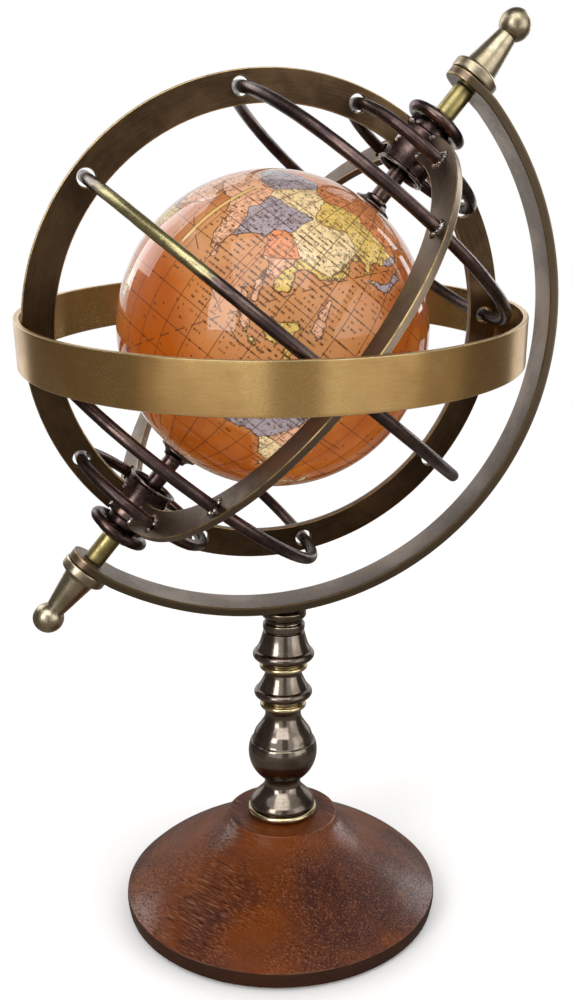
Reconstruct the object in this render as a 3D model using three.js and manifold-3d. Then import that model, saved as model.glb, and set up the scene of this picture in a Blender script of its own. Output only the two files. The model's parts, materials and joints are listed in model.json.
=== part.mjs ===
// Armillary desk globe: a small globe and a cage of rings turn on one tilted polar axle. A bent strip
// holds the axle's two ends and stands on a turned metal column with a turned wooden base.
// Millimetres, +Z up, origin at the centre of the underside. The polar axle leans toward +X.
import * as THREE from "three";
import { mergeVertices } from "three/addons/utils/BufferGeometryUtils.js";
import Module from "manifold-3d";

const wasm = await Module();
wasm.setup();

// Driving dimensions. Every gap between neighbouring pieces is GAP.
const GAP = 0.3;
const CENTRE_X = -5;
const CENTRE_Z = 260;
const AXIS_TILT = THREE.MathUtils.degToRad(38.3);

const GLOBE_RADIUS = 63.5;
const GLOBE_WALL = 1.6;

// Cage: flat meridian plates, round rods through holes in them, and one band around the outside.
const CAGE_TURN = THREE.MathUtils.degToRad(12.5);
const PLATE_OUTER = 99.8;
const PLATE_WIDTH = 12.5;
const PLATE_THICKNESS = 3;
const ROD_RADIUS = 2.75;
const ROD_HOLE_RADIUS = 3.9;
const ROD_PATH_RADIUS = PLATE_OUTER - PLATE_WIDTH / 2;
const TROPIC_LATITUDE = THREE.MathUtils.degToRad(42);
const POLAR_LATITUDE = THREE.MathUtils.degToRad(70.9);
const BAND_HEIGHT = 19;
const BAND_THICKNESS = 2.2;
const BAND_TILT = THREE.MathUtils.degToRad(-40.4);
const BAND_TURN = THREE.MathUtils.degToRad(-3);

// Axle and what is threaded on it, as distances from the globe's centre along the axle.
const AXLE_RADIUS = 2.8;
const AXLE_BORE = AXLE_RADIUS + GAP;
const AXLE_HALF_LENGTH = 138;
const INNER_TUBE_RADIUS = 3.7;
const POLE_CAP_RADIUS = 8.2;
const POLE_CAP_HEIGHT = 3.6;
const HUB_RADIUS = 10;
const HUB_LIP = 0.9;
const HUB_BORE_RADIUS = 8.8;
const HUB_RIM_AT = 80.7;
const HUB_FLOOR_AT = 92.6;
const HUB_END_AT = 98.8;
const HUB_STUB_END_AT = 103.6;
const HUB_STUB_RADIUS = 7.3;
const DISC_AT = 102.2;
const DISC_RADIUS = 13.6;
const DISC_THICKNESS = 4.6;
const DISC_CROWN = 2;
const SPACER_RADIUS = 4.3;
const TAB_AT = 122;
const COLLAR_RADIUS = 10;
const COLLAR_HEIGHT = 4.8;
const CONE_FOOT_RADIUS = 7;
const CONE_END_RADIUS = 4.1;
const CONE_END_AT = 148.2;
const BALL_AT = 153.5;
const BALL_RADIUS = 6.5;

// Bent strip that carries the axle. Its circle's centre lies ARC_OFFSET beyond the axle.
const STRIP_WIDTH = 19;
const STRIP_THICKNESS = 3.7;
const ARC_OFFSET = 13;
const TAB_REACH = 9;
const THREAD_SKIN = 1;
const ARC_WASHER_RADIUS = 7.2;
const ARC_WASHER_RISE = 3;

// Wooden base with its felt, and the fastening hidden in its counterbore.
const FELT_RADIUS = 67;
const FELT_THICKNESS = 1.2;
const BASE_RADIUS = 70.5;
const BASE_RIM_TOP = 8.6;
const BASE_TOP = 43.2;
const BASE_DISC_RADIUS = 24.4;
const BASE_DISC_STEP = 2.4;
const ROD_BORE = 3.3;
const TIE_ROD_RADIUS = 3;
const TIE_ROD_TAIL = 2;
const COUNTERBORE_RADIUS = 11;
const COUNTERBORE_TOP = 13;
const NUT_HEIGHT = 5;
const NUT_CORNER_RADIUS = 5.77;
const TIE_WASHER_HEIGHT = 1.6;
const TIE_WASHER_RADIUS = 9;

// Column, as the heights of its stacked pieces and the waist where they meet.
const FOOT_HEIGHT = 16;
const BULB_HEIGHT = 34.3;
const LOWER_KNOP_HEIGHT = 18;
const UPPER_KNOP_HEIGHT = 22.4;
const CAP_HEIGHT = 4.5;
const WAIST_RADIUS = 8.6;
const NECK_RADIUS = 8;

const material = (color, roughness, metalness) =>
  new THREE.MeshStandardMaterial({ color, roughness, metalness });

const WOOD = () => material(0x6b3318, 0.4, 0);
const FELT = () => material(0x2b2622, 0.95, 0);
const STEEL = () => material(0x8c8c8a, 0.4, 1);
const GUNMETAL = () => material(0x4a423e, 0.25, 1);
const STRIP_BRONZE = () => material(0x6d5b4b, 0.4, 1);
const PLATE_BRONZE = () => material(0x5c4634, 0.4, 1);
const ROD_BRONZE = () => material(0x46352f, 0.35, 1);
const ANTIQUE_BRASS = () => material(0xa39672, 0.35, 1);
const BRIGHT_BRASS = () => material(0xb8a860, 0.3, 1);
const BAND_BRASS = () => material(0x9a7b48, 0.35, 1);
const GLOBE_PAPER = () => material(0xc8691f, 0.15, 0);

// --- solids ---

// The closed geometry as a solid with its faces out.
function solidOf(geometry) {
  const bare = geometry.index ? geometry.toNonIndexed() : geometry.clone();
  bare.deleteAttribute("normal");
  bare.deleteAttribute("uv");
  const merged = mergeVertices(bare, 1e-3);
  const vertProperties = new Float32Array(merged.attributes.position.array);
  const triVerts = new Uint32Array(merged.index.array);
  const made = new wasm.Manifold(new wasm.Mesh({ numProp: 3, vertProperties, triVerts }));
  if (made.volume() > 0) return made;
  const flipped = triVerts.map((v, i) => triVerts[i - (i % 3) + (2 - (i % 3))]);
  return new wasm.Manifold(new wasm.Mesh({ numProp: 3, vertProperties, triVerts: flipped }));
}

function geometryOf(solid) {
  const mesh = solid.getMesh();
  const positions = new Float32Array(mesh.numVert * 3);
  for (let i = 0; i < mesh.numVert; i++) {
    const start = i * mesh.numProp;
    positions.set(mesh.vertProperties.subarray(start, start + 3), i * 3);
  }
  const geometry = new THREE.BufferGeometry();
  geometry.setAttribute("position", new THREE.BufferAttribute(positions, 3));
  geometry.setIndex(new THREE.BufferAttribute(new Uint32Array(mesh.triVerts), 1));
  geometry.computeVertexNormals();
  return geometry;
}

// A closed or axis-to-axis outline of (radius, height) points, revolved about Z.
function turned(points, segments) {
  const profile = points.map(([r, z]) => new THREE.Vector2(r, z));
  return new THREE.LatheGeometry(profile, segments).rotateX(Math.PI / 2);
}

// The outline with a bore of the given radius closed behind it.
function bored(points, bore) {
  const start = [bore, points[0][1]];
  return [start, ...points, [bore, points.at(-1)[1]], start];
}

const tube = (outer, bore, low, high, segments) =>
  turned(bored([[outer, low], [outer, high]], bore), segments);

const rod = (radius, low, high, segments) =>
  turned([[0, low], [radius, low], [radius, high], [0, high]], segments);

// Points of a smooth curve through the given (radius, height) points, for a flowing outline.
function flowing(points, count) {
  const curve = new THREE.SplineCurve(points.map(([r, z]) => new THREE.Vector2(r, z)));
  return curve.getPoints(count).map((p) => [p.x, p.y]);
}

// Points of a bead: a round arc about (centreRadius, centreHeight), from below to above, in degrees.
function bead(centreRadius, centreHeight, radius, count, from = -90, to = 90) {
  return Array.from({ length: count + 1 }, (_, i) => {
    const angle = THREE.MathUtils.degToRad(from + ((to - from) * i) / count);
    return [centreRadius + radius * Math.cos(angle), centreHeight + radius * Math.sin(angle)];
  });
}

function node(parent, name, shape, look) {
  const geometry = shape.isBufferGeometry ? shape : geometryOf(shape);
  const mesh = new THREE.Mesh(geometry, look);
  mesh.name = name;
  parent.add(mesh);
  return mesh;
}

// --- groups ---

const globeOnStand = new THREE.Group();

// +Z of this group is the polar axle, from the globe's centre toward the upper finial.
const polar = new THREE.Group();
polar.position.set(CENTRE_X, 0, CENTRE_Z);
polar.rotation.y = AXIS_TILT;
globeOnStand.add(polar);

// The lower end of the axle carries the same pieces, turned end for end.
const lowerEnd = new THREE.Group();
lowerEnd.rotation.x = Math.PI;
polar.add(lowerEnd);

const cage = new THREE.Group();
cage.rotation.z = CAGE_TURN;
polar.add(cage);

// --- base and column ---

// A flat disc on a steep hollow flank that swells to a shallow cone with a sharp rim.
function woodenBase() {
  const bottom = FELT_THICKNESS + GAP;
  const rimEase = 0.8;
  const flank = flowing(
    [[BASE_RADIUS, BASE_RIM_TOP], [62, 16.4], [52, 23], [42, 28.6], [33, 34.4], [26.6, 39.6]],
    8,
  );
  const outline = [
    [COUNTERBORE_RADIUS, bottom],
    [BASE_RADIUS - rimEase, bottom],
    [BASE_RADIUS, bottom + rimEase],
    ...flank,
    [BASE_DISC_RADIUS, BASE_TOP - BASE_DISC_STEP],
    [BASE_DISC_RADIUS, BASE_TOP],
    [ROD_BORE, BASE_TOP],
    [ROD_BORE, COUNTERBORE_TOP],
    [COUNTERBORE_RADIUS, COUNTERBORE_TOP],
    [COUNTERBORE_RADIUS, bottom],
  ];
  return turned(outline, 32);
}

// A bell-shaped flange with a bead round its edge, drawn in to a neck.
function footOutline() {
  const beadRadius = 1.6;
  const beadAt = 14.1;
  return [
    [beadAt, 0],
    ...bead(beadAt, beadRadius, beadRadius, 4),
    ...flowing([[14.9, 4.6], [14.3, 7.2], [12.4, 10], [9.4, 11.6], [8.2, 12.8]], 5),
    [NECK_RADIUS, FOOT_HEIGHT],
  ];
}

// A ball with a ridge near its top and a hollow neck above it.
function bulbOutline() {
  const ballRadius = 15.4;
  const ballAt = 13.6;
  const ridge = [13.9, ballAt + 4.8];
  return [
    [WAIST_RADIUS, 0],
    ...bead(0, ballAt, ballRadius, 6, -56, 17),
    ridge,
    ...flowing([[13.6, 19.4], [12.6, 23.2], [8.6, 28.4], [NECK_RADIUS, 31.6], [WAIST_RADIUS, BULB_HEIGHT]], 6),
  ];
}

// A bright bead, a rounded knop over it, and the throat that runs up from the knop.
function knopOutline(beadOuter, knopRadius, knopAt, throat) {
  const beadRadius = 1.3;
  const knopRound = 2.6;
  return [
    [beadOuter - beadRadius, 0],
    ...bead(beadOuter - beadRadius, beadRadius, beadRadius, 3),
    ...bead(knopRadius - knopRound, knopAt, knopRound, 4, -60, 55),
    ...throat,
  ];
}

function lowerKnopOutline() {
  const throat = [[10.6, 11], [WAIST_RADIUS, 14.4], [NECK_RADIUS, 16.4], [WAIST_RADIUS, LOWER_KNOP_HEIGHT]];
  return knopOutline(10, 12.9, 7.6, flowing(throat, 4));
}

function upperKnopOutline() {
  const collar = [[8.5, 18], [9.1, 18.9], [9.1, 21.6], [8.2, UPPER_KNOP_HEIGHT]];
  return knopOutline(10.4, 13.6, 6.8, [...flowing([[11.6, 10], [10, 13.6], [9, 17.4]], 3), ...collar]);
}

function capOutline() {
  const capRadius = 9.8;
  return [
    [8.2, 0],
    [8.4, 0.8],
    [9.6, 2.2],
    [capRadius, 2.8],
    [capRadius, CAP_HEIGHT],
  ];
}

const columnPieces = [
  ["column_foot", footOutline(), FOOT_HEIGHT],
  ["column_bulb", bulbOutline(), BULB_HEIGHT],
  ["column_lower_knop", lowerKnopOutline(), LOWER_KNOP_HEIGHT],
  ["column_upper_knop", upperKnopOutline(), UPPER_KNOP_HEIGHT],
  ["column_cap", capOutline(), CAP_HEIGHT],
];
const columnTop = columnPieces.reduce((top, [, , height]) => top + GAP + height, BASE_TOP);

function buildColumn() {
  let low = BASE_TOP + GAP;
  for (const [name, outline, height] of columnPieces) {
    const piece = node(globeOnStand, name, turned(bored(outline, ROD_BORE), 18), GUNMETAL());
    piece.position.z = low;
    low += height + GAP;
  }
}

function hexNut() {
  const hexagon = new THREE.Shape(arcPoints(0, 0, NUT_CORNER_RADIUS, 0, 2 * Math.PI, 6));
  hexagon.holes.push(new THREE.Path(arcPoints(0, 0, ROD_BORE, 0, -2 * Math.PI, 16)));
  return new THREE.ExtrudeGeometry(hexagon, { depth: NUT_HEIGHT, bevelEnabled: false });
}

// --- the bent strip ---

const tabOuterFace = TAB_AT + STRIP_THICKNESS;
const arcInner = Math.hypot(TAB_REACH + ARC_OFFSET, TAB_AT);
const arcOuter = arcInner + STRIP_THICKNESS;

// Outline of the strip in the axle's plane: first axis across the axle, second along it.
function stripOutline() {
  const inner = Math.atan2(TAB_AT, TAB_REACH + ARC_OFFSET);
  const outer = Math.acos((TAB_REACH + ARC_OFFSET) / arcOuter);
  const corner = (x, y) => new THREE.Vector2(x, y);
  return new THREE.Shape([
    corner(-STRIP_WIDTH, TAB_AT),
    ...arcPoints(-ARC_OFFSET, 0, arcInner, inner, -inner, 56),
    corner(-STRIP_WIDTH, -TAB_AT),
    corner(-STRIP_WIDTH, -tabOuterFace),
    ...arcPoints(-ARC_OFFSET, 0, arcOuter, -outer, outer, 56),
    corner(-STRIP_WIDTH, tabOuterFace),
  ]);
}

// World placing turned into the polar group's own axes.
const intoPolar = new THREE.Matrix4()
  .makeRotationY(AXIS_TILT)
  .setPosition(CENTRE_X, 0, CENTRE_Z)
  .invert();

// Height at which the strip's outer face crosses the column's axis.
function stripUndersideHeight() {
  const across = CENTRE_X - ARC_OFFSET * Math.cos(AXIS_TILT);
  const up = CENTRE_Z + ARC_OFFSET * Math.sin(AXIS_TILT);
  return up - Math.sqrt(arcOuter ** 2 - across ** 2);
}

// The tapped hole for the tie rod stops a thin skin short of the strip's inner face.
const threadTop = stripUndersideHeight() + STRIP_THICKNESS - THREAD_SKIN;

function supportArc() {
  const strip = new THREE.ExtrudeGeometry(stripOutline(), { depth: STRIP_WIDTH, bevelEnabled: false })
    .translate(0, 0, -STRIP_WIDTH / 2)
    .rotateX(Math.PI / 2);
  const reach = 2 * BALL_AT;
  const tabEnds = solidOf(rod(STRIP_WIDTH / 2, -reach, reach, 28));
  const beyondAxle = solidOf(new THREE.BoxGeometry(reach, reach, 2 * reach).translate(reach / 2, 0, 0));
  const axleHole = solidOf(rod(AXLE_BORE, -reach, reach, 16));
  const tappedHole = solidOf(rod(ROD_BORE, columnTop, threadTop, 16).applyMatrix4(intoPolar));
  return solidOf(strip).intersect(tabEnds.add(beyondAxle)).subtract(axleHole).subtract(tappedHole);
}

// A washer whose top is hollowed to the strip's curve, so that the strip sits on a flat cap.
function arcWasher() {
  const low = columnTop + GAP;
  const high = stripUndersideHeight() + ARC_WASHER_RISE;
  const stripOuterFace = new THREE.CylinderGeometry(arcOuter + GAP, arcOuter + GAP, 2 * STRIP_WIDTH, 96)
    .translate(-ARC_OFFSET, 0, 0)
    .applyMatrix4(intoPolar.clone().invert());
  return solidOf(tube(ARC_WASHER_RADIUS, ROD_BORE, low, high, 20)).subtract(solidOf(stripOuterFace));
}

// --- pieces on the axle, in the polar group ---

// A collar against the tab, a cone and a ball, with a blind hole for the axle's end.
function finial() {
  const seat = tabOuterFace + GAP;
  const coneFoot = seat + COLLAR_HEIGHT;
  const blindEnd = AXLE_HALF_LENGTH + GAP;
  const ease = 0.6;
  const outline = [
    [AXLE_BORE, seat],
    [COLLAR_RADIUS - ease, seat],
    [COLLAR_RADIUS, seat + ease],
    [COLLAR_RADIUS, coneFoot - ease],
    [COLLAR_RADIUS - ease, coneFoot],
    [CONE_FOOT_RADIUS, coneFoot],
    [CONE_END_RADIUS, CONE_END_AT],
    ...bead(0, BALL_AT, BALL_RADIUS, 6, -54, 80),
    [0, BALL_AT + BALL_RADIUS],
    [0, blindEnd],
    [AXLE_BORE, blindEnd],
    [AXLE_BORE, seat],
  ];
  return turned(outline, 18);
}

// A round-edged disc, domed outward and recessed toward the hub's stub.
function discWasher() {
  const edge = DISC_THICKNESS / 2;
  const face = DISC_AT + DISC_THICKNESS;
  const recessFloor = HUB_STUB_END_AT + GAP;
  const outline = [
    [AXLE_BORE, recessFloor],
    [9, recessFloor],
    [10.6, DISC_AT],
    ...bead(DISC_RADIUS - edge, DISC_AT + edge, edge, 4),
    [8, face + DISC_CROWN * 0.7],
    [5.4, face + DISC_CROWN],
    [AXLE_BORE, face + DISC_CROWN],
    [AXLE_BORE, recessFloor],
  ];
  return turned(outline, 20);
}

// A cup open toward the globe, with a thin lip, and a narrower stub on its outer end.
function hub() {
  const ease = 0.6;
  const outline = [
    [AXLE_BORE, HUB_FLOOR_AT],
    [HUB_BORE_RADIUS, HUB_FLOOR_AT],
    [HUB_BORE_RADIUS, HUB_RIM_AT],
    [HUB_RADIUS + HUB_LIP, HUB_RIM_AT],
    [HUB_RADIUS, HUB_RIM_AT + 2 * HUB_LIP],
    [HUB_RADIUS, HUB_END_AT - ease],
    [HUB_RADIUS - ease, HUB_END_AT],
    [HUB_STUB_RADIUS, HUB_END_AT],
    [HUB_STUB_RADIUS, HUB_STUB_END_AT],
    [AXLE_BORE, HUB_STUB_END_AT],
    [AXLE_BORE, HUB_FLOOR_AT],
  ];
  return turned(outline, 20);
}

// A small washer with a raised neck that covers the hole at the globe's pole.
function poleCap() {
  const crown = GLOBE_RADIUS + GAP;
  const edgeDrop = 0.45;
  const outline = [
    [AXLE_BORE, crown],
    [POLE_CAP_RADIUS, crown - edgeDrop],
    [POLE_CAP_RADIUS, crown + GAP],
    [6.6, crown + 1],
    [5.2, crown + 2.2],
    [4.8, crown + POLE_CAP_HEIGHT],
    [AXLE_BORE, crown + POLE_CAP_HEIGHT],
    [AXLE_BORE, crown],
  ];
  return turned(outline, 18);
}

function innerTube() {
  const low = GLOBE_RADIUS + POLE_CAP_HEIGHT + 2 * GAP;
  return tube(INNER_TUBE_RADIUS, AXLE_BORE, low, HUB_FLOOR_AT - GAP, 14);
}

function outerSpacer() {
  const low = DISC_AT + DISC_THICKNESS + DISC_CROWN + GAP;
  return tube(SPACER_RADIUS, AXLE_BORE, low, TAB_AT - GAP, 16);
}

// Half of the globe's hollow shell, from the joint at the equator to the hole at the pole.
function globeShell() {
  const steps = 7;
  const arc = (radius) => {
    const jointAngle = Math.asin(GAP / 2 / radius);
    const poleAngle = Math.acos((AXLE_BORE + GAP) / radius);
    return Array.from({ length: steps + 1 }, (_, i) => {
      const angle = jointAngle + ((poleAngle - jointAngle) * i) / steps;
      return [radius * Math.cos(angle), radius * Math.sin(angle)];
    });
  };
  const outside = arc(GLOBE_RADIUS);
  const inside = arc(GLOBE_RADIUS - GLOBE_WALL);
  return turned([...outside, ...inside.toReversed(), outside[0]], 28);
}

// --- pieces of the cage, in the cage group ---

const rodLatitudes = [-POLAR_LATITUDE, -TROPIC_LATITUDE, 0, TROPIC_LATITUDE, POLAR_LATITUDE];
const rodNames = ["south_polar", "south_tropic", "equator", "north_tropic", "north_polar"];
const plateNames = ["right", "back", "left", "front"];

// Points of a circle's arc about (x, y), from one angle to another.
function arcPoints(x, y, radius, from, to, count) {
  return Array.from({ length: count + 1 }, (_, i) => {
    const angle = from + ((to - from) * i) / count;
    return new THREE.Vector2(x + radius * Math.cos(angle), y + radius * Math.sin(angle));
  });
}

// Half of a flat ring plate in the plane of X and the axle, with a hole for each rod.
function halfPlate() {
  const quarter = Math.PI / 2;
  const outside = arcPoints(0, 0, PLATE_OUTER, -quarter, quarter, 26);
  const inside = arcPoints(0, 0, PLATE_OUTER - PLATE_WIDTH, quarter, -quarter, 26);
  const shape = new THREE.Shape([...outside, ...inside]);
  for (const latitude of rodLatitudes) {
    const x = ROD_PATH_RADIUS * Math.cos(latitude);
    const y = ROD_PATH_RADIUS * Math.sin(latitude);
    shape.holes.push(new THREE.Path(arcPoints(x, y, ROD_HOLE_RADIUS, 0, -2 * Math.PI, 10)));
  }
  const plate = new THREE.ExtrudeGeometry(shape, { depth: PLATE_THICKNESS, bevelEnabled: false })
    .translate(0, 0, -PLATE_THICKNESS / 2)
    .rotateX(Math.PI / 2);
  const hubSpace = solidOf(rod(HUB_RADIUS + GAP, -BALL_AT, BALL_AT, 16));
  return solidOf(plate).subtract(hubSpace);
}

function buildCage() {
  plateNames.forEach((name, i) => {
    const plate = node(cage, `meridian_plate_${name}`, halfPlate(), PLATE_BRONZE());
    plate.rotation.z = (i * Math.PI) / 2;
  });
  rodNames.forEach((name, i) => {
    const radius = ROD_PATH_RADIUS * Math.cos(rodLatitudes[i]);
    const around = Math.round(14 + radius / 3.4);
    const shape = new THREE.TorusGeometry(radius, ROD_RADIUS, 6, around);
    const ring = node(cage, `${name}_rod`, shape, ROD_BRONZE());
    ring.position.z = ROD_PATH_RADIUS * Math.sin(rodLatitudes[i]);
  });
  const inner = PLATE_OUTER + GAP;
  const half = BAND_HEIGHT / 2;
  const bandFrame = new THREE.Group();
  bandFrame.rotation.z = BAND_TURN;
  cage.add(bandFrame);
  const shape = tube(inner + BAND_THICKNESS, inner, -half, half, 64);
  const band = node(bandFrame, "ecliptic_band", shape, BAND_BRASS());
  band.rotation.y = BAND_TILT;
}

function buildAxle() {
  const axle = rod(AXLE_RADIUS, -AXLE_HALF_LENGTH, AXLE_HALF_LENGTH, 14);
  node(polar, "polar_axle", axle, STEEL());
  for (const [end, parent] of [["upper", polar], ["lower", lowerEnd]]) {
    node(parent, `${end}_finial`, finial(), ANTIQUE_BRASS());
    node(parent, `${end}_spacer`, outerSpacer(), BRIGHT_BRASS());
    node(parent, `${end}_disc_washer`, discWasher(), ROD_BRONZE());
    node(parent, `${end}_hub`, hub(), ROD_BRONZE());
    node(parent, `${end}_inner_tube`, innerTube(), ROD_BRONZE());
    node(parent, `${end}_pole_cap`, poleCap(), ROD_BRONZE());
  }
  node(polar, "globe_north_shell", globeShell(), GLOBE_PAPER());
  node(lowerEnd, "globe_south_shell", globeShell(), GLOBE_PAPER());
}

function buildStand() {
  node(globeOnStand, "felt_pad", rod(FELT_RADIUS, 0, FELT_THICKNESS, 32), FELT());
  node(globeOnStand, "wooden_base", woodenBase(), WOOD());
  buildColumn();
  const washerTop = COUNTERBORE_TOP - GAP;
  const washerLow = washerTop - TIE_WASHER_HEIGHT;
  const washer = tube(TIE_WASHER_RADIUS, ROD_BORE, washerLow, washerTop, 18);
  node(globeOnStand, "tie_washer", washer, STEEL());
  const nut = node(globeOnStand, "tie_nut", hexNut(), STEEL());
  nut.position.z = washerLow - GAP - NUT_HEIGHT;
  const tieRod = rod(TIE_ROD_RADIUS, nut.position.z - TIE_ROD_TAIL, threadTop - GAP, 14);
  node(globeOnStand, "tie_rod", tieRod, STEEL());
  node(globeOnStand, "arc_washer", arcWasher(), ROD_BRONZE());
  node(polar, "support_arc", supportArc(), STRIP_BRONZE());
}

buildStand();
buildAxle();
buildCage();

export default globeOnStand;
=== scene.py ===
"""Armillary desk globe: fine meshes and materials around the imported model, which fixes sizes and places."""
import json
import math

import bmesh
import bpy
import numpy as np
from mathutils import Matrix, Vector, kdtree, noise


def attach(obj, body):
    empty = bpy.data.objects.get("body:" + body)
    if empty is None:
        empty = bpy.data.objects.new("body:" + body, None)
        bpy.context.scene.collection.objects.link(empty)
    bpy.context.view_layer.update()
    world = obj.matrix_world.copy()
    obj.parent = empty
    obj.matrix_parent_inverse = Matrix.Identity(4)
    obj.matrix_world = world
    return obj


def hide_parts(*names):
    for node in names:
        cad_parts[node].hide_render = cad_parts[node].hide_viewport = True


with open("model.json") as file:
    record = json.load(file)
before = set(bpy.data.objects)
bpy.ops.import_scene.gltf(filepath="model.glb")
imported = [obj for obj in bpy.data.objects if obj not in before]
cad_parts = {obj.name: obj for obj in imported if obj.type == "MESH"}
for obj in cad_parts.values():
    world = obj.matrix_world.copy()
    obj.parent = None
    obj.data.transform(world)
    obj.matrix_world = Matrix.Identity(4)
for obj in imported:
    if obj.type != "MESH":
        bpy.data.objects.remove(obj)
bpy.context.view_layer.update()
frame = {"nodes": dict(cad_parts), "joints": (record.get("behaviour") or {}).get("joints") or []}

MM = 0.001  # outlines and sizes below are in millimetres, and the scene is in metres
SAME_POINT = 0.002  # points of a mesh that are closer than this are one

# --- places: each piece has a frame of its own, whose Z is the axis that it was turned about ---


def place(x_axis, y_axis, z_axis, origin):
    rotation = Matrix((x_axis, y_axis, z_axis)).transposed()
    return Matrix.Translation(origin) @ rotation.to_4x4()


def points_in(node, where):
    """The CAD node's vertices in a place's own axes, in millimetres."""
    inward = where.inverted()
    return np.array([(inward @ v.co)[:] for v in frame["nodes"][node].data.vertices]) / MM


class Span:
    """How far a CAD node reaches along and away from the Z axis of a place, in millimetres."""

    def __init__(self, node, where):
        points = points_in(node, where)
        away = np.hypot(points[:, 0], points[:, 1])
        self.low, self.high = points[:, 2].min(), points[:, 2].max()
        self.bore, self.radius = away.min(), away.max()
        self.height = self.high - self.low


spin = frame["joints"][0]
CENTRE = Vector(spin["pos_m"])
AXLE = Vector(spin["axis"]).normalized()
BACK = Vector((0, 1, 0))
STANDING = Matrix.Identity(4)
POLAR = place(BACK.cross(AXLE), BACK, AXLE, CENTRE)
LOWER = POLAR @ Matrix.Rotation(math.pi, 4, "X")
right_plate = points_in("meridian_plate_right", POLAR).mean(axis=0)
CAGE = POLAR @ Matrix.Rotation(math.atan2(right_plate[1], right_plate[0]), 4, "Z")


def band_place():
    """The band's own frame, from the direction in which its points spread least."""
    points = points_in("ecliptic_band", CAGE)
    spread = np.linalg.svd(points - points.mean(axis=0), full_matrices=False)[2]
    normal = Vector(spread[2]) * (1 if spread[2][2] > 0 else -1)
    side = Vector((0, 1, 0)).cross(normal).normalized()
    return CAGE @ place(side, normal.cross(side), normal, Vector((0, 0, 0)))


BAND = band_place()
# A ring's plane holds the axle: X points away from it and Y along it.
IN_PLANE = Matrix.Rotation(math.pi / 2, 4, "X")
ARC = POLAR @ IN_PLANE

# --- outlines, as (radius, height) points in millimetres ---


def rounded(corners, ease=0.3, steps=4):
    """The closed outline with its corners eased. A third number in a corner is that corner's own ease."""
    result, count = [], len(corners)
    for i, corner in enumerate(corners):
        here = np.array(corner[:2], float)
        radius = corner[2] if len(corner) > 2 else ease
        if radius <= 0:
            result.append(here)
            continue
        before = np.array(corners[i - 1][:2], float) - here
        after = np.array(corners[(i + 1) % count][:2], float) - here
        reach = min(radius, 0.45 * np.linalg.norm(before), 0.45 * np.linalg.norm(after))
        start = here + before / np.linalg.norm(before) * reach
        end = here + after / np.linalg.norm(after) * reach
        for t in np.linspace(0, 1, steps + 1):
            result.append((1 - t) ** 2 * start + 2 * t * (1 - t) * here + t * t * end)
    return np.array(result)


def filled_in(points, step):
    """A closed outline with extra points, so that none is further than step from the next."""
    result = []
    for start, end in zip(points, np.roll(points, -1, axis=0)):
        parts = max(1, math.ceil(np.linalg.norm(end - start) / step))
        result.extend(start + (end - start) * k / parts for k in range(parts))
    return np.array(result)


def flowing(points, count=16):
    """A smooth curve through the points, for a flowing turned shape. Its points aren't eased again."""
    p = np.array(points, float)
    p = np.vstack([2 * p[0] - p[1], p, 2 * p[-1] - p[-2]])
    result = []
    for t in np.linspace(0, len(points) - 1 - 1e-9, count):
        i, f = int(t), t - int(t)
        a, b, c, d = p[i : i + 4]
        bent = 2 * b + (c - a) * f + (2 * a - 5 * b + 4 * c - d) * f**2 + (3 * b - a - 3 * c + d) * f**3
        result.append((*(0.5 * bent), 0))
    return result


def arc_points(radius, angles, centre=(0, 0)):
    return [(centre[0] + radius * math.cos(a), centre[1] + radius * math.sin(a)) for a in angles]


def bead(radius_at, height_at, radius, start=-90, end=90, count=12):
    """A round arc that stands out from its centre, from below to above. Its points aren't eased again."""
    angles = np.radians(np.linspace(start, end, count))
    return [(x, y, 0) for x, y in arc_points(radius, angles, (radius_at, height_at))]


def edge_values(outline):
    """How sharply the closed outline turns: towards 1 on outside edges, towards -1 in grooves."""
    shortest, gain = 0.05, 0.35
    before = outline - np.roll(outline, 1, axis=0)
    after = np.roll(outline, -1, axis=0) - outline
    crossed = before[:, 0] * after[:, 1] - before[:, 1] * after[:, 0]
    turn = np.arctan2(crossed, (before * after).sum(axis=1))
    length = (np.linalg.norm(before, axis=1) + np.linalg.norm(after, axis=1)) / 2
    return np.clip(turn / np.maximum(length, shortest) * gain, -1, 1)


# --- meshes ---


def added(name, data):
    """A new object in the scene."""
    piece = bpy.data.objects.new(name, data)
    bpy.context.scene.collection.objects.link(piece)
    return piece


def point_values(mesh, name, values):
    mesh.attributes.new(name, "FLOAT", "POINT").data.foreach_set("value", np.asarray(values, np.float32))


def new_piece(name, vertices, faces, where, edge=None):
    """An object of the vertices, in millimetres in its own frame, with clean normals and smooth shading."""
    mesh = bpy.data.meshes.new(name)
    mesh.from_pydata((np.asarray(vertices, float) * MM).tolist(), [], faces)
    if edge is not None:
        point_values(mesh, "edge", edge)
    work = bmesh.new()
    work.from_mesh(mesh)
    bmesh.ops.remove_doubles(work, verts=work.verts, dist=SAME_POINT * MM)
    bmesh.ops.recalc_face_normals(work, faces=work.faces)
    work.to_mesh(mesh)
    work.free()
    return shaded(link(name, mesh, where))


def link(name, mesh, where):
    """An object of a mesh that was made in a place's own axes. The looks read those axes from "local"."""
    points = np.empty(3 * len(mesh.vertices), np.float32)
    mesh.vertices.foreach_get("co", points)
    mesh.attributes.new("local", "FLOAT_VECTOR", "POINT").data.foreach_set("vector", points)
    mesh.transform(where)
    return added(name, mesh)


def baked(holder):
    """The mesh that a curve or a modifier makes. The object that held it goes."""
    bpy.context.view_layer.update()
    mesh = bpy.data.meshes.new_from_object(holder.evaluated_get(bpy.context.evaluated_depsgraph_get()))
    bpy.data.objects.remove(holder)
    return mesh


def shaded(piece, angle=40):
    piece.data.shade_smooth()
    piece.data.set_sharp_from_angle(angle=math.radians(angle))
    return piece


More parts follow.
